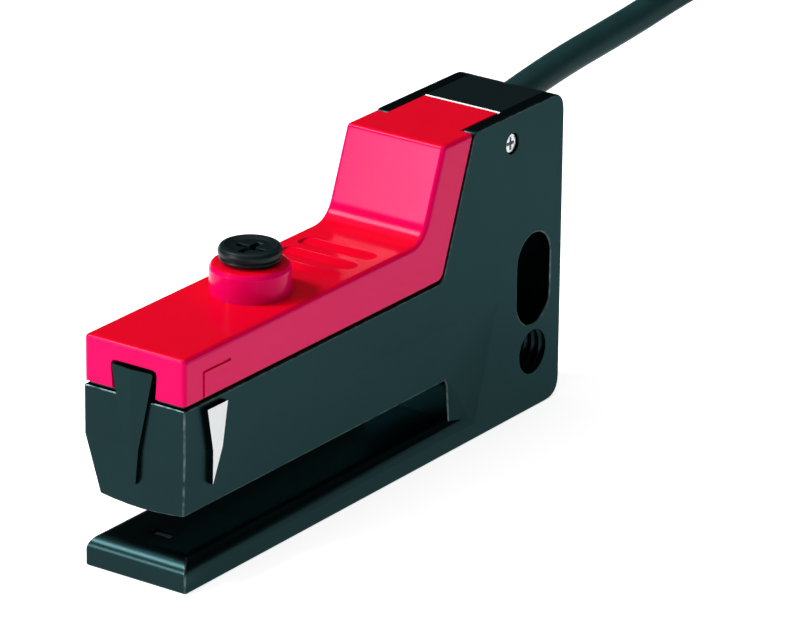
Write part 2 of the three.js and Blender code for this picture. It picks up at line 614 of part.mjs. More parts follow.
function sensorPieces() {
  const pieces = [
    piece('fork_body', forkBody(), 'anodised'),
    piece('top_cover', topCover(), 'red'),
    piece('cover_gasket', coverGasket(), 'rubber'),
    piece('adjuster_knob', adjusterKnob(), 'black'),
    piece('adjuster_o_ring', placedRing(2.15, 2.85, 35.4, 36.2), 'rubber'),
    piece('potentiometer_base', potentiometerBase(), 'blue'),
    piece('potentiometer_rotor', potentiometerRotor(), 'white'),
    piece('cable_end_piece', cableEndPiece(), 'black'),
    piece('cable_crimp_ring', crimpRing(), 'steel'),
    piece('side_screw_left', sideScrew(-1), 'steel'),
    piece('side_screw_right', sideScrew(1), 'steel'),
    piece('main_board', mainBoard(), 'board'),
    piece('controller_chip', onBoard(40, 6, 6, 1), 'chip'),
    piece('output_transistor', onBoard(55, 4, 3, 1.4), 'chip'),
    piece('amplifier_chip', onBoard(16, 5, 4, 1.2), 'chip'),
    piece('status_led_green', onBoard(32.5, 1.6, 1, 0.8, -2.4), 'green'),
    piece('status_led_yellow', onBoard(32.5, 1.6, 1, 0.8, 2.4), 'yellow'),
    piece('buffer_capacitor', onBoard(62, 3.4, 2.8, 1.9), 'amber'),
    piece('receiver_window', disc(1.8, UNDERSIDE_Z - 0.35, 12.6, AXIS_X, 0), 'glass'),
    piece('receiver_lens', receiverLens(), 'glass'),
    piece('receiver_tube', receiverTube(), 'black'),
    piece('receiver_photodiode', opticBlock(1.5, 1.5, 18.5, BOARD_Z - 0.05), 'chip'),
    piece('emitter_window', opticBlock(0.5, 1.4, 3.05, LOWER_TOP_Z - 0.15), 'glass'),
    piece('emitter_led', opticBlock(0.8, 0.8, 2.15, 2.8), 'white'),
    piece('emitter_board', box(4.1, 28.6, -3.6, 3.6, 1.3, 2.1), 'board'),
    piece('flex_lead', flexLead(), 'amber'),
    piece('lower_arm_strip', box(STRIP.front, STRIP.rear, -STRIP.half, STRIP.half, 0, STRIP.thick), 'black'),
  ];
  ['brown', 'white', 'blue', 'black'].forEach((colour, index) => {
    pieces.push(piece(`inner_core_${colour}`, innerCore(index), colour));
  });
  return pieces;
}

// ---- cable ----------------------------------------------------------------------------------------
function oval(radius) {
  const [x, y] = HANK.centre;
  const shape = new THREE.Shape();
  shape.moveTo(x - HANK.halfRun, y - radius);
  shape.absarc(x + HANK.halfRun, y, radius, -Math.PI / 2, Math.PI / 2, false);
  shape.absarc(x - HANK.halfRun, y, radius, Math.PI / 2, 1.5 * Math.PI, false);
  return shape;
}

// The hank's outer column ends one turn lower than the inner one, in a step that the bared cores lie on.
function hankBlock() {
  const ring = oval(HANK.outer + CABLE_RADIUS + HANK_LAYERS.slack);
  ring.holes.push(oval(HANK.inner - CABLE_RADIUS - HANK_LAYERS.slack));
  const between = (HANK.inner + HANK.outer) / 2;
  const innerColumn = solid(extrude(oval(between), HANK_TOP, 12));
  const step = box(TAIL_X, 220, HANK.centre[1], 20, STEP_FLOOR, HANK_TOP + 1).subtract(innerColumn);
  return solid(extrude(ring, HANK_TOP - HANK.base, 12).translate(0, 0, HANK.base)).subtract(step);
}

// The tie goes round the two columns of the hank's run on the -Y side.
function hankTie() {
  const y = HANK.centre[1];
  const space = CABLE_RADIUS + HANK_LAYERS.slack + GAP - 0.05;
  const [low, high] = [y - HANK.outer - space, y - HANK.inner + space];
  const [bottom, top] = [0.05 + TIE.thick, HANK_TOP + GAP];
  const band = box(TIE.front, TIE.rear, low - TIE.thick, high + TIE.thick, 0.05, top + TIE.thick);
  const head = box(TIE.front - 0.5, TIE.rear + 0.5, high - 5, high - 1, top, top + 2.6);
  return band.add(head).subtract(box(TIE.front - 1, TIE.rear + 1, low, high, bottom, top));
}

// The four bared cores leave the sheath's cut end two over two and lie on the turn below it.
function tailCores() {
  const y = HANK.centre[1] + HANK.outer;
  const sheathZ = HANK_TOP - HANK_LAYERS.slack - CABLE_RADIUS;
  const rest = STEP_FLOOR + GAP + FERRULE_RADIUS;
  const start = TAIL_X + GAP;
  const pieces = [];
  ['brown', 'white', 'blue', 'black'].forEach((colour, index) => {
    const side = (index % 2 - 0.5) * 1.7;
    const level = Math.floor(index / 2) * 1.7;
    const route = [[start, y + side, sheathZ - 0.85 + level], [start + 6, y + side, rest + 0.3 + level],
      [start + 12, y + side, rest + 0.05 + level], [start + 16, y + side, rest + level]];
    pieces.push(piece(`tail_core_${colour}`, tube(route, CORE_RADIUS, 8, 12), colour));
    const [tipX, tipY, tipZ] = route.at(-1);
    const ferrule = new THREE.CylinderGeometry(FERRULE_RADIUS * 0.8, FERRULE_RADIUS, 7, 12);
    ferrule.rotateZ(-Math.PI / 2).translate(tipX + 3.5 + GAP, tipY, tipZ);
    pieces.push(piece(`tail_ferrule_${colour}`, ferrule, 'copper'));
  });
  return pieces;
}

function cablePieces() {
  return [
    piece('cable', tube(CABLE_ROUTE, CABLE_RADIUS, 10, 24), 'cable'),
    piece('cable_hank', hankBlock(), 'cable'),
    piece('hank_tie', hankTie(), 'black'),
    ...tailCores(),
  ];
}

// ---- assembly -------------------------------------------------------------------------------------
const sensor = new THREE.Group();
sensor.position.x = SENSOR_SHIFT;
sensor.add(...sensorPieces());

const cord = new THREE.Group();
cord.add(...cablePieces());

const assembly = new THREE.Group();
assembly.add(sensor, cord);

export default assembly;
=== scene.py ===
"""Finishes a fork-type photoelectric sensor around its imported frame: the anodised fork, the translucent
red cover, the adjuster, the cable end, the optics and the cable, on a pale studio floor.
Lengths are in metres, in the frame's own axes: +X from the fork's tip to its rear, +Z up."""
import json
import math

import bmesh
import bpy
from bpy.props import FloatProperty, FloatVectorProperty, PointerProperty
from mathutils import Matrix, Vector


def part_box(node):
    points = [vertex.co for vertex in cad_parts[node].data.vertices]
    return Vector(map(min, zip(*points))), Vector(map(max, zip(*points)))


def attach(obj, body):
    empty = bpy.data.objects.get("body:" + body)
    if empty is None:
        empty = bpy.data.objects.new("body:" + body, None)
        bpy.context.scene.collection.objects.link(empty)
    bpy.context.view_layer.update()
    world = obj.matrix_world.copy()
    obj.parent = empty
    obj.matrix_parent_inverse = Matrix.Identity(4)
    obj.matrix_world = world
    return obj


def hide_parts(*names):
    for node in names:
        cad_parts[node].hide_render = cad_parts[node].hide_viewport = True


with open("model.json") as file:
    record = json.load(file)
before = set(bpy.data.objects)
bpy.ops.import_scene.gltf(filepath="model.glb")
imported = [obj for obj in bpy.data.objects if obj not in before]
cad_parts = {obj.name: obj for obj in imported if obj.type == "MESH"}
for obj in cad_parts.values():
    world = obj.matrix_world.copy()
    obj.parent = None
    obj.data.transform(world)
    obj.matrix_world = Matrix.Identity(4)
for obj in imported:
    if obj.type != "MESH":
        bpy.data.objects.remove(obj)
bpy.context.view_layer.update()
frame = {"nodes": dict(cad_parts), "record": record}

bl_info = {
    "name": "Fork Sensor",
    "version": (1, 0, 0),
    "blender": (4, 5, 0),
    "location": "View3D > Sidebar > Fork Sensor",
    "description": "Models and finishes a fork-type photoelectric sensor on its CAD frame",
    "category": "Object",
}

MM = 0.001
TIP_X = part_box("top_cover")[0].x
SENSOR_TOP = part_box("fork_body")[1].z

# Places on the sensor, in millimetres: X from the tip, Z from the base.
THREAD_AT = (83.0, 8.9)
THREAD_CLEAR = 4.7
SCREW_AT = (76.9, 42.6)
SCREW_CLEAR = 2.2
OPTICS_AT = (6.4, 0.0)
OPTICS_CLEAR = 2.6
POINTER_SPAN = (4.0, 8.8)
POINTER_HEIGHTS = (14.0, 25.9)
BOSS_AT = (26.0, 0.0)
BOSS_CLEAR = 6
END_PIECE_FRONT = 76.4

# The fork's hollows: span along X, half width and span of height.
FORK_HOLLOWS = {
    "cavity": ((2, 75.6), 6.7, (12.5, math.inf)),
    "end_seat": ((75, math.inf), 6.7, (37, math.inf)),
    "channel": ((2, 75), 6, (-math.inf, 3.5)),
    "duct": ((66, 73), 3, (-math.inf, 14)),
}

FLOOR_HALF = 4

MERGE_DISTANCE = 0.002 * MM
FLAT_ANGLE = math.radians(0.5)
SHARP_ANGLE = math.radians(35)
ROUND_FROM_ANGLE = math.radians(25)
CREASE_ANGLES = (math.radians(5), math.radians(13))
CREASE_AREA = 20 * MM * MM

CABLE_DIAMETER = 4.6 * MM
CABLE_ROUTE = [
    (32.6, 0, 42.78), (38.4, 0, 43.65), (45.4, 0, 44.7), (52.4, 0, 45.65), (59.4, 0, 46.4), (67.4, 0, 47),
    (76.4, 0, 47.7), (85.4, 0, 48.6), (94.4, 0, 49.3), (103, 0.2, 49.6), (111, 0.4, 49.2), (119, 0.8, 47.3),
    (126.8, 1.2, 44.2), (133.5, 1.5, 40.4), (139.8, 1.8, 36.2), (145.6, 2, 32.5), (151.4, 2.15, 29.4),
    (157.6, 2.25, 27.4),
]

# The hank is oval turns in two columns: down the inner one, then up the outer one.
HANK_CENTRE = (164.8, -11.75)
HANK_HALF_RUN = 16
HANK_RADII = (14, 18.6)
HANK_LAYERS = 6
HANK_BOTTOM = 3.15
LAYER_RISE = 4.65
HANK_TURNS = 10.91
POINTS_PER_TURN = 24
STEP_DOWN = (0.66, 0.92)
STEP_OUT = (0.24, 0.46)
STEP_UP = (0.05, 0.24)
CORE_COLOURS = ("brown", "white", "blue", "black")


# ---- settings --------------------------------------------------------------------------------------
def colour_property(label, description, colour):
    return FloatVectorProperty(
        name=label, description=description, default=colour, size=3, min=0, max=1, subtype="COLOR"
    )


def length_property(label, description, millimetres):
    return FloatProperty(
        name=label, description=description, default=millimetres * MM, min=0, unit="LENGTH", precision=5
    )


def angle_property(label, description, degrees):
    return FloatProperty(
        name=label, description=description, default=math.radians(degrees), subtype="ANGLE"
    )


def power_property(label, description, watts):
    return FloatProperty(name=label, description=description, default=watts, min=0, unit="POWER")


class ForkSensorFinish(bpy.types.PropertyGroup):
    """Colours of the sensor's finishes."""

    body: colour_property("Body", "Anodised layer on the aluminium fork", (0.009, 0.022, 0.024))
    # Painted highlight: rounded edges get this lighter colour, partly as wear and partly as light they
    # catch.
    body_edge_wear_and_highlight: colour_property("Body edge", "Anodised layer where edges are rubbed", (0.09, 0.13, 0.13))
    paint: colour_property("Pointer paint", "White faces of the side pointers", (0.86, 0.88, 0.88))
    cover_top: colour_property("Cover, level faces", "Red plastic seen from above", (0.76, 0.001, 0.018))
    # Painted light: faces turned sideways get this pinker red.
    cover_walls_painted_light: colour_property("Cover, walls", "Red plastic where light leaves it", (0.7, 0.001, 0.11))
    black_plastic: colour_property("Black plastic", "Knob, end piece and strip", (0.003, 0.008, 0.009))
    cable: colour_property("Cable", "Outer sheath of the cable", (0.009, 0.034, 0.036))
    steel: colour_property("Steel", "Screws and crimp ring", (0.66, 0.68, 0.7))
    floor: colour_property("Floor", "Studio floor", (0.93, 0.93, 0.93))


class ForkSensorEdges(bpy.types.PropertyGroup):
    """How far edges are rounded."""

    body: length_property("Body edges", "Rounding of the fork's outer edges", 0.22)
    cover: length_property("Cover edges", "Rounding of the cover's outer edges", 0.7)
    small: length_property("Small edges", "Rounding of recesses, grooves and steps", 0.1)


class ForkSensorStage(bpy.types.PropertyGroup):
    """Camera and lights."""

    azimuth: angle_property("Azimuth", "Camera's turn about Z", -54.875)
    elevation: angle_property("Elevation", "Camera's height angle", 21.442)
    roll: angle_property("Roll", "Camera's turn about its own axis", 0.645)
    place: FloatVectorProperty(
        name="Place", description="Camera's position", default=(-0.618215, -0.44688, 0.3236), size=3,
        subtype="TRANSLATION", unit="LENGTH"
    )
    lens: FloatProperty(name="Lens", description="Focal length", default=263.85, unit="CAMERA")
    top_light: power_property("Top light", "Power of the overhead softbox", 13)
    left_light: power_property("Left light", "Power of the left softbox", 13)
    back_light: power_property("Back light", "Power of the small softbox behind", 16)
    surroundings: FloatProperty(
        name="Surroundings", description="Brightness of the studio", default=0.035, min=0
    )


# ---- shader maths ----------------------------------------------------------------------------------
class Wire:
    """A shader socket that takes Python arithmetic: each operation on it adds its Math node."""

    def __init__(self, recipe, socket):
        self.recipe = recipe
        self.socket = socket

    def _math(self, operation, first, second):
        return self.recipe.add("ShaderNodeMath", {"operation": operation}, {0: first, 1: second})

    def __add__(self, other):
        return self._math("ADD", self, other)

    def __radd__(self, other):
        return self._math("ADD", other, self)

    def __sub__(self, other):
        return self._math("SUBTRACT", self, other)

    def __rsub__(self, other):
        return self._math("SUBTRACT", other, self)

    def __mul__(self, other):
        return self._math("MULTIPLY", self, other)

    def __rmul__(self, other):
        return self._math("MULTIPLY", other, self)


class Recipe:
    """One procedural material: its node tree, its main shader and short ways to add nodes."""

    def __init__(self, name):
        self.material = bpy.data.materials.new(name)
        self.material.use_nodes = True
        self.tree = self.material.node_tree
        self.tree.nodes.clear()
        output = self.tree.nodes.new("ShaderNodeOutputMaterial")
        self.shader = self.tree.nodes.new("ShaderNodeBsdfPrincipled")
        self.tree.links.new(self.shader.outputs[0], output.inputs[0])

    def add(self, kind, settings, inputs, output=0):
        """A node of any type, with its settings made first and then its sockets' values or links."""
        node = self.tree.nodes.new(kind)
        for name, value in settings.items():
            if name == "stops":
                self._set_stops(node.color_ramp, value)
            else:
                setattr(node, name, value)
        for key, value in inputs.items():
            self.plug(node.inputs[key], value)
        return Wire(self, node.outputs[output])

    @staticmethod
    def _set_stops(ramp, stops):
        for element, (place, grey) in zip(ramp.elements, stops):
            element.position = place
            element.color = (grey, grey, grey, 1)

    def plug(self, socket, value):
        if isinstance(value, Wire):
            self.tree.links.new(value.socket, socket)
        elif socket.type == "RGBA":
            socket.default_value = (*value, 1)
        else:
            socket.default_value = value

    def set(self, **values):
        """Values or links for the main shader's sockets, named with underscores for spaces."""
        for name, value in values.items():
            self.plug(self.shader.inputs[name.replace("_", " ")], value)
        return self.material

    def place(self):
        return self.add("ShaderNodeTexCoord", {}, {}, "Object")

    def stretched(self, scale):
        return self.add("ShaderNodeMapping", {}, {"Vector": self.place(), "Scale": scale})

    def noise(self, scale, detail=2, vector=None):
        where = vector or self.place()
        return self.add("ShaderNodeTexNoise", {}, {"Vector": where, "Scale": scale, "Detail": detail})

    def ramp(self, factor, low, high):
        return self.add("ShaderNodeValToRGB", {"stops": [(low, 0), (high, 1)]}, {0: factor})

    def face_mark(self, name):
        return self.add("ShaderNodeAttribute", {"attribute_name": name}, {}, "Fac")

    def facing_up(self):
        normal = self.add("ShaderNodeNewGeometry", {}, {}, "Normal")
        return self.add("ShaderNodeSeparateXYZ", {}, {0: normal}, 2)

    def blend(self, factor, first, second):
        return self.add("ShaderNodeMix", {"data_type": "RGBA"}, {0: factor, 6: first, 7: second}, 2)

    def bump(self, height, strength, distance):
        inputs = {"Height": height, "Strength": strength, "Distance": distance}
        return self.add("ShaderNodeBump", {}, inputs)


def scaled(colour, factor):
    return tuple(min(1, channel * factor) for channel in colour)


# ---- materials -------------------------------------------------------------------------------------
def anodised_aluminium():
    """Blasted and dark-anodised: a fine grain, faint clouds, lighter edges for wear and a painted
    highlight, and painted pointer faces.
    """
    finish = bpy.context.scene.fork_sensor_finish
    recipe = Recipe("anodised_body")
    grain = recipe.noise(5200, 3)
    clouds = recipe.noise(90, 3)
    # Rounded edges lighter: partly wear, partly a painted highlight.
    edge_wear_and_highlight = recipe.face_mark("rubbed") * recipe.ramp(recipe.noise(700, 4), 0.3, 0.75)
    painted = recipe.face_mark("painted")
    tone = recipe.blend(grain * 0.6 + clouds * 0.4, scaled(finish.body, 0.72), scaled(finish.body, 1.35))
    tone = recipe.blend(edge_wear_and_highlight, tone, tuple(finish.body_edge_wear_and_highlight))
    white = recipe.blend(recipe.noise(1500, 2), scaled(finish.paint, 0.95), tuple(finish.paint))
    return recipe.set(
        Base_Color=recipe.blend(painted, tone, white),
        Metallic=1 - painted,
        Specular_Tint=(0.6, 0.74, 0.75),
        Roughness=grain * 0.12 + clouds * 0.06 + 0.22 + painted * 0.15,
        Normal=recipe.bump(grain, 0.22, 0.02 * MM),
    )


def red_polycarbonate():
    """Glossy translucent moulding: a deeper red on faces that look up, and a pinker red painted on its
    walls as light.
    """
    finish = bpy.context.scene.fork_sensor_finish
    recipe = Recipe("red_cover")
    flow = recipe.noise(55, 3)
    # Painted light: the red is picked by how far each face looks up, pinker on walls and deeper on level
    # faces.
    level = recipe.ramp(recipe.facing_up(), 0.45, 0.95)
    tone = recipe.blend(level, tuple(finish.cover_walls_painted_light), tuple(finish.cover_top))
    tone = recipe.blend(flow * 0.35, tone, scaled(finish.cover_top, 0.8))
    return recipe.set(
        Base_Color=tone,
        Roughness=recipe.noise(260, 3) * 0.07 + 0.13,
        Normal=recipe.bump(recipe.noise(140, 2), 0.12, 0.03 * MM),
        IOR=1.2,
        Specular_Tint=(1, 0.2, 0.4),
        Subsurface_Weight=0.2,
        Subsurface_Radius=(1.0, 0.05, 0.08),
        Subsurface_Scale=0.8 * MM,
    )


def black_plastic(name, roughness):
    """Moulded black plastic with a spark-eroded texture; rounded edges lighter for handling wear and a
    painted highlight, and marked faces painted near-white as a highlight.
    """
    finish = bpy.context.scene.fork_sensor_finish
    recipe = Recipe(name)
    texture = recipe.noise(3600, 3)
    handling = recipe.noise(240, 3)
    # Rounded edges lighter: partly handling wear, partly a painted highlight on the rims.
    rubbed = recipe.face_mark("rubbed") * handling
    # Painted highlight: marked faces, the end piece's front edge, are painted near-white.
    painted_edge_highlight = recipe.face_mark("painted")
    tone = recipe.blend(texture, scaled(finish.black_plastic, 0.75), scaled(finish.black_plastic, 1.4))
    tone = recipe.blend(rubbed * 0.5, tone, scaled(finish.black_plastic, 5))
    return recipe.set(
        Base_Color=recipe.blend(painted_edge_highlight, tone, (0.9, 0.92, 0.92)),
        Roughness=texture * 0.1 + handling * 0.08 + roughness,
        IOR=1.24,
        Normal=recipe.bump(texture, 0.25, 0.02 * MM),
    )


def rubber(name, colour):
    recipe = Recipe(name)
    bloom = recipe.noise(420, 4)
    return recipe.set(
        Base_Color=recipe.blend(bloom, scaled(colour, 0.8), scaled(colour, 1.3)),
        Roughness=bloom * 0.2 + 0.6,
        Normal=recipe.bump(recipe.noise(4200, 2), 0.2, 0.015 * MM),
    )


def cable_sheath():
    """Extruded polyurethane sheath: matt, with a slight orange peel and faint scuffs."""
    finish = bpy.context.scene.fork_sensor_finish
    recipe = Recipe("cable_sheath")
    peel = recipe.noise(1700, 3)
    scuffs = recipe.ramp(recipe.noise(160, 5), 0.45, 0.8)
    tone = recipe.blend(peel, scaled(finish.cable, 0.8), scaled(finish.cable, 1.2))
    return recipe.set(
        Base_Color=recipe.blend(scuffs * 0.25, tone, scaled(finish.cable, 1.9)),
        Roughness=peel * 0.12 + scuffs * 0.12 + 0.42,
        IOR=1.18,
        Normal=recipe.bump(peel, 0.25, 0.03 * MM),
    )


def bright_metal(name, colour, roughness):
    """Turned or tinned metal with fine lines across its axis."""
    recipe = Recipe(name)
    lines = recipe.noise(1, 3, recipe.stretched((9000, 9000, 900)))
    stains = recipe.noise(700, 3)
    return recipe.set(
        Base_Color=recipe.blend(stains * 0.5, tuple(colour), scaled(colour, 0.7)),
        Metallic=1,
        Roughness=lines * 0.12 + stains * 0.08 + roughness,
        Normal=recipe.bump(lines, 0.1, 0.01 * MM),
    )


def moulded(name, colour, roughness):
    """Small plastic and laminate parts: a fine mottle in tone and gloss."""
    recipe = Recipe(name)
    mottle = recipe.noise(1900, 3)
    return recipe.set(
        Base_Color=recipe.blend(mottle, scaled(colour, 0.85), scaled(colour, 1.12)),
        Roughness=mottle * 0.14 + roughness,
        Normal=recipe.bump(mottle, 0.12, 0.02 * MM),
    )


def optical_glass():
    """Dark coated glass of the two small windows and the lens."""
    recipe = Recipe("optical_glass")
    smudge = recipe.noise(600, 3)
    return recipe.set(
        Base_Color=recipe.blend(smudge, (0.012, 0.016, 0.02), (0.03, 0.035, 0.04)),
        Roughness=smudge * 0.06 + 0.04,
        Coat_Weight=0.6,
        Coat_Roughness=0.02,
    )


def studio_floor():
    finish = bpy.context.scene.fork_sensor_finish
    recipe = Recipe("studio_floor")
    mottle = recipe.noise(30, 2)
    return recipe.set(
        Base_Color=recipe.blend(mottle, scaled(finish.floor, 0.995), tuple(finish.floor)),
        Roughness=mottle * 0.05 + 0.75,
        Emission_Color=tuple(finish.floor),
        Emission_Strength=0.78,
    )


def all_materials():
    """Every finish of the sensor by the name of its slot in the record."""
    finish = bpy.context.scene.fork_sensor_finish
    made = [
        anodised_aluminium(),
        red_polycarbonate(),
        rubber("seal_rubber", (0.02, 0.02, 0.022)),
        black_plastic("black_plastic", 0.3),
        black_plastic("end_piece", 0.24),
        cable_sheath(),
        bright_metal("steel", finish.steel, 0.2),
        bright_metal("tinned_copper", (0.6, 0.6, 0.58), 0.3),
        optical_glass(),
        moulded("blue_plastic", (0.03, 0.11, 0.42), 0.3),
        moulded("white_plastic", (0.75, 0.75, 0.73), 0.35),
        moulded("board_laminate", (0.02, 0.16, 0.07), 0.35),
        moulded("chip_epoxy", (0.014, 0.014, 0.016), 0.45),
        moulded("led_green", (0.08, 0.5, 0.13), 0.15),
        moulded("led_yellow", (0.75, 0.5, 0.05), 0.15),
        moulded("capacitor_epoxy", (0.55, 0.3, 0.05), 0.35),
        moulded("flex_film", (0.45, 0.22, 0.03), 0.22),
        moulded("core_brown", (0.15, 0.06, 0.025), 0.38),
        moulded("core_white", (0.78, 0.78, 0.76), 0.38),
        moulded("core_blue", (0.025, 0.09, 0.4), 0.38),
        moulded("core_black", (0.015, 0.015, 0.017), 0.38),
    ]
    return {material.name: material for material in made}


# ---- meshes ----------------------------------------------------------------------------------------
def slot_of(node):
    return next(row["material_slot"] for row in frame["record"]["subparts"] if row["node"] == node)


def body_of(node):
    bodies = frame["record"]["behaviour"]["bodies"]
    return next(body for body, nodes in bodies.items() if node in nodes)


def in_millimetres(point):
    """A point as x from the fork's tip, y and z, in millimetres."""
    return (point.x - TIP_X) / MM, point.y / MM, point.z / MM


def merged_copy(node):
    """A node's surface as one clean shell: doubles merged, and its flat triangles joined into faces."""
    shape = bmesh.new()
    shape.from_mesh(frame["nodes"][node].data)
    bmesh.ops.remove_doubles(shape, verts=shape.verts, dist=MERGE_DISTANCE)
    bmesh.ops.dissolve_limit(
        shape, angle_limit=FLAT_ANGLE, use_dissolve_boundaries=False, verts=shape.verts, edges=shape.edges
    )
    shape.faces.layers.float.new("rubbed")
    shape.faces.layers.float.new("painted")
    return shape


def middle_of(edge):
    return in_millimetres((edge.verts[0].co + edge.verts[1].co) / 2)


def round_edges(shape, width, segments, chosen):
    """Rounds the sharp outer edges that chosen accepts, and marks the new faces for edge wear and a painted
    highlight.
    """
    edges = [
        edge for edge in shape.edges
        if edge.is_manifold and edge.is_convex and edge.calc_face_angle() > ROUND_FROM_ANGLE
        and chosen(*middle_of(edge))
    ]
    result = bmesh.ops.bevel(
        shape, geom=edges, offset=width, offset_type="OFFSET", segments=segments, profile=0.5,
        affect="EDGES", clamp_overlap=False, material=-1
    )
    rubbed = shape.faces.layers.float["rubbed"]
    for face in result["faces"]:
        face[rubbed] = 1


def mark_faces(shape, chosen):
    """Marks the faces whose middle chosen accepts as painted."""
    painted = shape.faces.layers.float["painted"]
    for face in shape.faces:
        if chosen(*in_millimetres(face.calc_center_median()), face.normal):
            face[painted] = 1


def shade(shape):
    """Smooth over rounds, sharp at corners and along the creases between broad flats."""
    for face in shape.faces:
        face.smooth = True
    for edge in shape.edges:
        if not edge.is_manifold:
            continue
        angle = edge.calc_face_angle()
        broad = min(face.calc_area() for face in edge.link_faces) > CREASE_AREA
        crease = broad and CREASE_ANGLES[0] < angle < CREASE_ANGLES[1]
        edge.smooth = not (angle > SHARP_ANGLE or crease)


def place_piece(shape, name, node, material):
    """Makes the shape an object that stands for its node and moves with the node's body."""
    shade(shape)
    mesh = bpy.data.meshes.new(name)
    shape.to_mesh(mesh)
    shape.free()
    piece = bpy.data.objects.new(name, mesh)
    bpy.context.scene.collection.objects.link(piece)
    mesh.materials.append(material)
    weighted = piece.modifiers.new("even_shading", "WEIGHTED_NORMAL")
    weighted.keep_sharp = True
    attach(piece, body_of(node))
    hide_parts(node)
    return piece


def near(x, other, at, reach):
    return math.hypot(x - at[0], other - at[1]) < reach


# ---- fork ------------------------------------------------------------------------------------------
def inside_fork(x, y, z):
    """In a bore or hollow of the fork, where edges stay as machined."""
    hollow = any(
        span[0] < x < span[1] and abs(y) < half and heights[0] < z < heights[1]
        for span, half, heights in FORK_HOLLOWS.values()
    )
    port = near(x, y, OPTICS_AT, OPTICS_CLEAR)
    thread = near(x, z, THREAD_AT, THREAD_CLEAR)
    screw = near(x, z, SCREW_AT, SCREW_CLEAR)
    return hollow or port or thread or screw


def on_pointer(x, y, z):
    front = x < 1.6 and abs(y) < 4 and 13.5 < z < 31.6
    side = POINTER_SPAN[0] < x < POINTER_SPAN[1] and abs(y) > 6 and 13.5 < z < 26.2
    return front or side


def fork_edge(x, y, z):
    return not inside_fork(x, y, z) and not on_pointer(x, y, z)


def pointer_face(x, y, z, normal):
    """The white face of a side pointer, proud of the flank."""
    spans = POINTER_SPAN[0] < x < POINTER_SPAN[1] and POINTER_HEIGHTS[0] < z < POINTER_HEIGHTS[1]
    return spans and abs(y) > 7.4 and abs(normal.y) > 0.9


class FORKSENSOR_OT_fork(bpy.types.Operator):
    """Model the anodised fork with its rounded edges and painted side pointers"""

    bl_idname = "fork_sensor.fork"
    bl_label = "Fork"

    def execute(self, context):
        shape = merged_copy("fork_body")
        mark_faces(shape, pointer_face)
        round_edges(shape, context.scene.fork_sensor_edges.body, 3, fork_edge)
        place_piece(shape, "fork_casting", "fork_body", bpy.data.materials["anodised_body"])
        return {"FINISHED"}


# ---- cover -----------------------------------------------------------------------------------------
def cover_outline_edge(x, y, z):
    """The cover's upper outline and its upright front corners."""
    upper = z > 33 and (x < 61 or z > 46.9 and x < 66.5)
    side = abs(y) > 8.45 and (upper or x < 0.6)
    crest = z > 46.3 and x < 61 and abs(y) < 8
    front = x < 0.6 and z > 33.4
    return side or crest or front


def cover_small_edge(x, y, z):
    recess = abs(y) < 6.4 and 35 < x < 48.2 and z > 33.9
    boss = near(x, y, BOSS_AT, BOSS_CLEAR) and z > 33.5
    return (recess or boss) and abs(y) < 8


class FORKSENSOR_OT_cover(bpy.types.Operator):
    """Model the red cover with its rounded outline, finger recesses and boss"""

    bl_idname = "fork_sensor.cover"
    bl_label = "Cover"

    def execute(self, context):
        edges = context.scene.fork_sensor_edges
        shape = merged_copy("top_cover")
        round_edges(shape, edges.cover, 4, cover_outline_edge)
        round_edges(shape, edges.small, 2, cover_small_edge)
        place_piece(shape, "cover_moulding", "top_cover", bpy.data.materials["red_cover"])
        return {"FINISHED"}


# ---- adjuster --------------------------------------------------------------------------------------
class FORKSENSOR_OT_adjuster(bpy.types.Operator):
    """Model the adjuster knob with its beads, dished top and driver recess"""

    bl_idname = "fork_sensor.adjuster"
    bl_label = "Adjuster"

    def execute(self, context):
        shape = merged_copy("adjuster_knob")
        round_edges(shape, context.scene.fork_sensor_edges.small, 2, lambda x, y, z: z > 38)
        place_piece(shape, "knob_moulding", "adjuster_knob", bpy.data.materials["black_plastic"])
        return {"FINISHED"}


# ---- rear ------------------------------------------------------------------------------------------
# Faces of the end piece's rounded front edge, which get a painted near-white highlight.
def end_piece_front_edge(x, y, z, normal):
    return x < END_PIECE_FRONT + 0.4 and z > SENSOR_TOP / MM - 0.4 and normal.x < -0.1


class FORKSENSOR_OT_rear(bpy.types.Operator):
    """Model the cable end piece and the two side screws"""

    bl_idname = "fork_sensor.rear"
    bl_label = "Rear"

    def execute(self, context):
        small = context.scene.fork_sensor_edges.small
        shape = merged_copy("cable_end_piece")
        mark_faces(shape, end_piece_front_edge)
        place_piece(shape, "end_piece_moulding", "cable_end_piece", bpy.data.materials["end_piece"])
        for side in ("left", "right"):
            screw = merged_copy(f"side_screw_{side}")
            round_edges(screw, small * 0.8, 2, lambda x, y, z: abs(y) > 7)
            place_piece(screw, f"side_screw_{side}_head", f"side_screw_{side}", bpy.data.materials["steel"])
        return {"FINISHED"}


# ---- seal and optics -------------------------------------------------------------------------------
class FORKSENSOR_OT_small_parts(bpy.types.Operator):
    """Model the cover's seal, the two optical windows and the strip under the lower arm"""

    bl_idname = "fork_sensor.small_parts"
    bl_label = "Small parts"

    def execute(self, context):
        width = context.scene.fork_sensor_edges.small
        names = {
            "cover_gasket": "cover_seal",
            "emitter_window": "emitter_pane",
            "receiver_window": "receiver_pane",
            "lower_arm_strip": "lower_arm_cap",
        }
        for node, name in names.items():
            shape = merged_copy(node)
            round_edges(shape, width, 2, lambda x, y, z: True)
            place_piece(shape, name, node, bpy.data.materials[slot_of(node)])
        return {"FINISHED"}


# ---- cable -----------------------------------------------------------------------------------------
def eased(value, span):
    """0 before the span, 1 after it, and a smooth step between."""
    step = min(max((value - span[0]) / (span[1] - span[0]), 0), 1)
    return step * step * (3 - 2 * step)


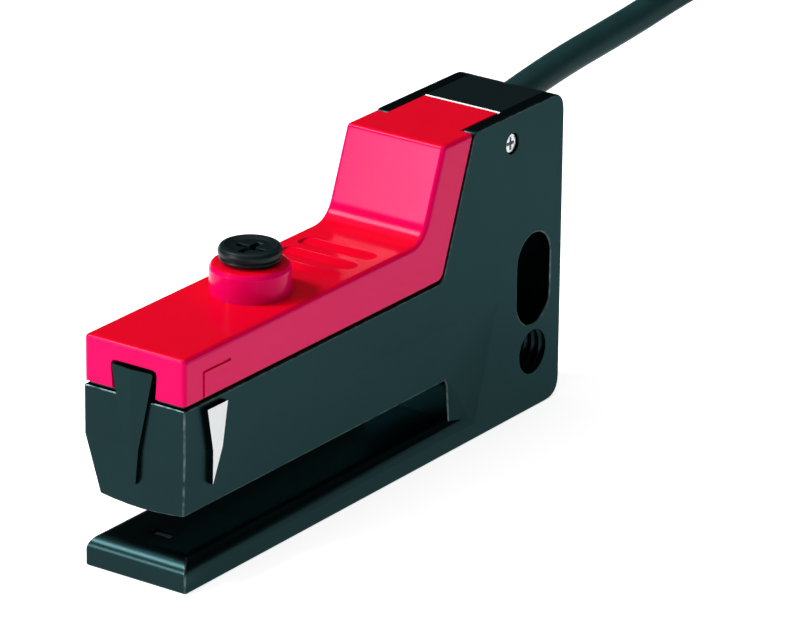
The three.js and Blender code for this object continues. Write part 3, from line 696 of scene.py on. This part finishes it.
def oval_point(fraction, radius, height):
    """A place on an oval turn, counted clockwise from the middle of its +Y run."""
    bend = math.pi * radius
    along = fraction * (4 * HANK_HALF_RUN + 2 * bend)
    x, y = HANK_CENTRE
    if along < HANK_HALF_RUN:
        return x + along, y + radius, height
    along -= HANK_HALF_RUN
    if along < bend:
        angle = math.pi / 2 - along / radius
        return x + HANK_HALF_RUN + radius * math.cos(angle), y + radius * math.sin(angle), height
    along -= bend
    if along < 2 * HANK_HALF_RUN:
        return x + HANK_HALF_RUN - along, y - radius, height
    along -= 2 * HANK_HALF_RUN
    if along < bend:
        angle = -math.pi / 2 - along / radius
        return x - HANK_HALF_RUN + radius * math.cos(angle), y + radius * math.sin(angle), height
    return x - HANK_HALF_RUN + along - bend, y + radius, height


def hank_point(turns):
    """The hank's centreline after that many turns."""
    whole = int(turns)
    fraction = turns - whole
    if whole < HANK_LAYERS - 1:
        outward = 0
        layer = HANK_LAYERS - 1 - whole - eased(fraction, STEP_DOWN)
    elif whole == HANK_LAYERS - 1:
        outward = eased(fraction, STEP_OUT)
        layer = 0
    else:
        outward = 1
        layer = whole - HANK_LAYERS + eased(fraction, STEP_UP)
    radius = HANK_RADII[0] + (HANK_RADII[1] - HANK_RADII[0]) * outward
    return oval_point(fraction, radius, HANK_BOTTOM + layer * LAYER_RISE)


def cable_points():
    steps = round(HANK_TURNS * POINTS_PER_TURN)
    hank = [hank_point(HANK_TURNS * i / steps) for i in range(steps + 1)]
    return [Vector(point) * MM for point in CABLE_ROUTE + hank]


class FORKSENSOR_OT_cable(bpy.types.Operator):
    """Lay the cable out of the end piece and into its tied hank, and bare its four cores"""

    bl_idname = "fork_sensor.cable"
    bl_label = "Cable"

    def execute(self, context):
        points = cable_points()
        curve = bpy.data.curves.new("cable_run", "CURVE")
        curve.dimensions = "3D"
        curve.bevel_depth = CABLE_DIAMETER / 2
        curve.bevel_resolution = 5
        curve.resolution_u = 3
        curve.use_fill_caps = True
        spline = curve.splines.new("BEZIER")
        spline.bezier_points.add(len(points) - 1)
        for knot, point in zip(spline.bezier_points, points):
            knot.co = point
            knot.handle_left_type = "AUTO"
            knot.handle_right_type = "AUTO"
        cable = bpy.data.objects.new("cable_run", curve)
        context.scene.collection.objects.link(cable)
        curve.materials.append(bpy.data.materials["cable_sheath"])
        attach(cable, "housing")
        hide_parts("cable", "cable_hank")
        tie = merged_copy("hank_tie")
        round_edges(tie, context.scene.fork_sensor_edges.small, 2, lambda x, y, z: True)
        pieces = [place_piece(tie, "cable_tie", "hank_tie", bpy.data.materials["black_plastic"])]
        for colour in CORE_COLOURS:
            for part in ("core", "ferrule"):
                node = f"tail_{part}_{colour}"
                shape = merged_copy(node)
                material = bpy.data.materials[slot_of(node)]
                pieces.append(place_piece(shape, f"bared_{part}_{colour}", node, material))
        return {"FINISHED"}


# ---- materials on the frame ------------------------------------------------------------------------
class FORKSENSOR_OT_finishes(bpy.types.Operator):
    """Make every finish and give each part of the frame its own"""

    bl_idname = "fork_sensor.finishes"
    bl_label = "Finishes"

    def execute(self, context):
        parts = frame["nodes"].values()
        for packed in {row.material for part in parts for row in part.material_slots}:
            bpy.data.materials.remove(packed)
        materials = all_materials()
        for node, part in frame["nodes"].items():
            for material_slot in part.material_slots:
                material_slot.material = materials[slot_of(node)]
        return {"FINISHED"}


# ---- stage -----------------------------------------------------------------------------------------
def add_softbox(name, place, target, size, power):
    light = bpy.data.lights.new(name, "AREA")
    light.shape = "SQUARE"
    light.size = size
    light.energy = power
    lamp = bpy.data.objects.new(name, light)
    bpy.context.scene.collection.objects.link(lamp)
    lamp.location = place
    lamp.rotation_euler = (Vector(target) - Vector(place)).to_track_quat("-Z", "Y").to_euler()


def add_camera(settings):
    """A long lens at the stated azimuth, elevation and roll."""
    turn, rise, roll = settings.azimuth, settings.elevation, settings.roll
    back = Vector((math.sin(turn) * math.cos(rise), -math.cos(turn) * math.cos(rise), math.sin(rise)))
    level = Vector((math.cos(turn), math.sin(turn), 0))
    upright = back.cross(level)
    right = math.cos(roll) * level + math.sin(roll) * upright
    up = back.cross(right)
    data = bpy.data.cameras.new("camera")
    data.lens = settings.lens
    data.clip_start = 0.05
    data.clip_end = 20
    camera = bpy.data.objects.new("camera", data)
    bpy.context.scene.collection.objects.link(camera)
    axes = [right, up, back, Vector(settings.place)]
    camera.matrix_world = Matrix([[axis[row] for axis in axes] for row in range(3)] + [[0, 0, 0, 1]])
    bpy.context.scene.camera = camera


class FORKSENSOR_OT_stage(bpy.types.Operator):
    """Set up the camera, the pale floor and the soft studio lights"""

    bl_idname = "fork_sensor.stage"
    bl_label = "Stage"

    def execute(self, context):
        scene = context.scene
        settings = scene.fork_sensor_stage
        add_camera(settings)
        shape = bmesh.new()
        bmesh.ops.create_grid(shape, x_segments=2, y_segments=2, size=FLOOR_HALF)
        mesh = bpy.data.meshes.new("floor")
        shape.to_mesh(mesh)
        shape.free()
        floor = bpy.data.objects.new("floor", mesh)
        scene.collection.objects.link(floor)
        mesh.materials.append(studio_floor())
        add_softbox("top_softbox", (-0.15, -0.1, 1.5), (0, 0, 0), 2.2, settings.top_light)
        add_softbox("left_softbox", (-1.3, 0.75, 0.5), (0, 0, 0.02), 0.3, settings.left_light)
        add_softbox("back_softbox", (-0.56, 0.8, 1.14), (-0.04, 0, 0), 0.3, settings.back_light)
        world = bpy.data.worlds.new("studio")
        world.use_nodes = True
        background = world.node_tree.nodes["Background"]
        background.inputs["Color"].default_value = (1, 1, 1, 1)
        background.inputs["Strength"].default_value = settings.surroundings
        scene.world = world
        scene.view_settings.view_transform = "Standard"
        return {"FINISHED"}


# ---- panel and registration ------------------------------------------------------------------------
OPERATORS = (
    FORKSENSOR_OT_stage,
    FORKSENSOR_OT_finishes,
    FORKSENSOR_OT_cable,
    FORKSENSOR_OT_fork,
    FORKSENSOR_OT_cover,
    FORKSENSOR_OT_adjuster,
    FORKSENSOR_OT_rear,
    FORKSENSOR_OT_small_parts,
)


class FORKSENSOR_PT_panel(bpy.types.Panel):
    """The sensor's settings and its pieces"""

    bl_label = "Fork Sensor"
    bl_idname = "FORKSENSOR_PT_panel"
    bl_space_type = "VIEW_3D"
    bl_region_type = "UI"
    bl_category = "Fork Sensor"

    def draw(self, context):
        for group in (
            context.scene.fork_sensor_stage,
            context.scene.fork_sensor_finish,
            context.scene.fork_sensor_edges,
        ):
            box = self.layout.box()
            for name in group.__annotations__:
                box.prop(group, name)
        for operator in OPERATORS:
            self.layout.operator(operator.bl_idname)


GROUPS = {
    "fork_sensor_finish": ForkSensorFinish,
    "fork_sensor_edges": ForkSensorEdges,
    "fork_sensor_stage": ForkSensorStage,
}


def register():
    for group in GROUPS.values():
        bpy.utils.register_class(group)
    for name, group in GROUPS.items():
        setattr(bpy.types.Scene, name, PointerProperty(type=group))
    for operator in OPERATORS:
        bpy.utils.register_class(operator)
    bpy.utils.register_class(FORKSENSOR_PT_panel)


def unregister():
    bpy.utils.unregister_class(FORKSENSOR_PT_panel)
    for operator in reversed(OPERATORS):
        bpy.utils.unregister_class(operator)
    for name, group in GROUPS.items():
        delattr(bpy.types.Scene, name)
        bpy.utils.unregister_class(group)


def main():
    register()
    bpy.ops.fork_sensor.stage()
    bpy.ops.fork_sensor.finishes()
    bpy.ops.fork_sensor.cable()
    bpy.ops.fork_sensor.fork()
    bpy.ops.fork_sensor.cover()
    bpy.ops.fork_sensor.adjuster()
    bpy.ops.fork_sensor.rear()
    bpy.ops.fork_sensor.small_parts()


if __name__ == "__main__":
    main()
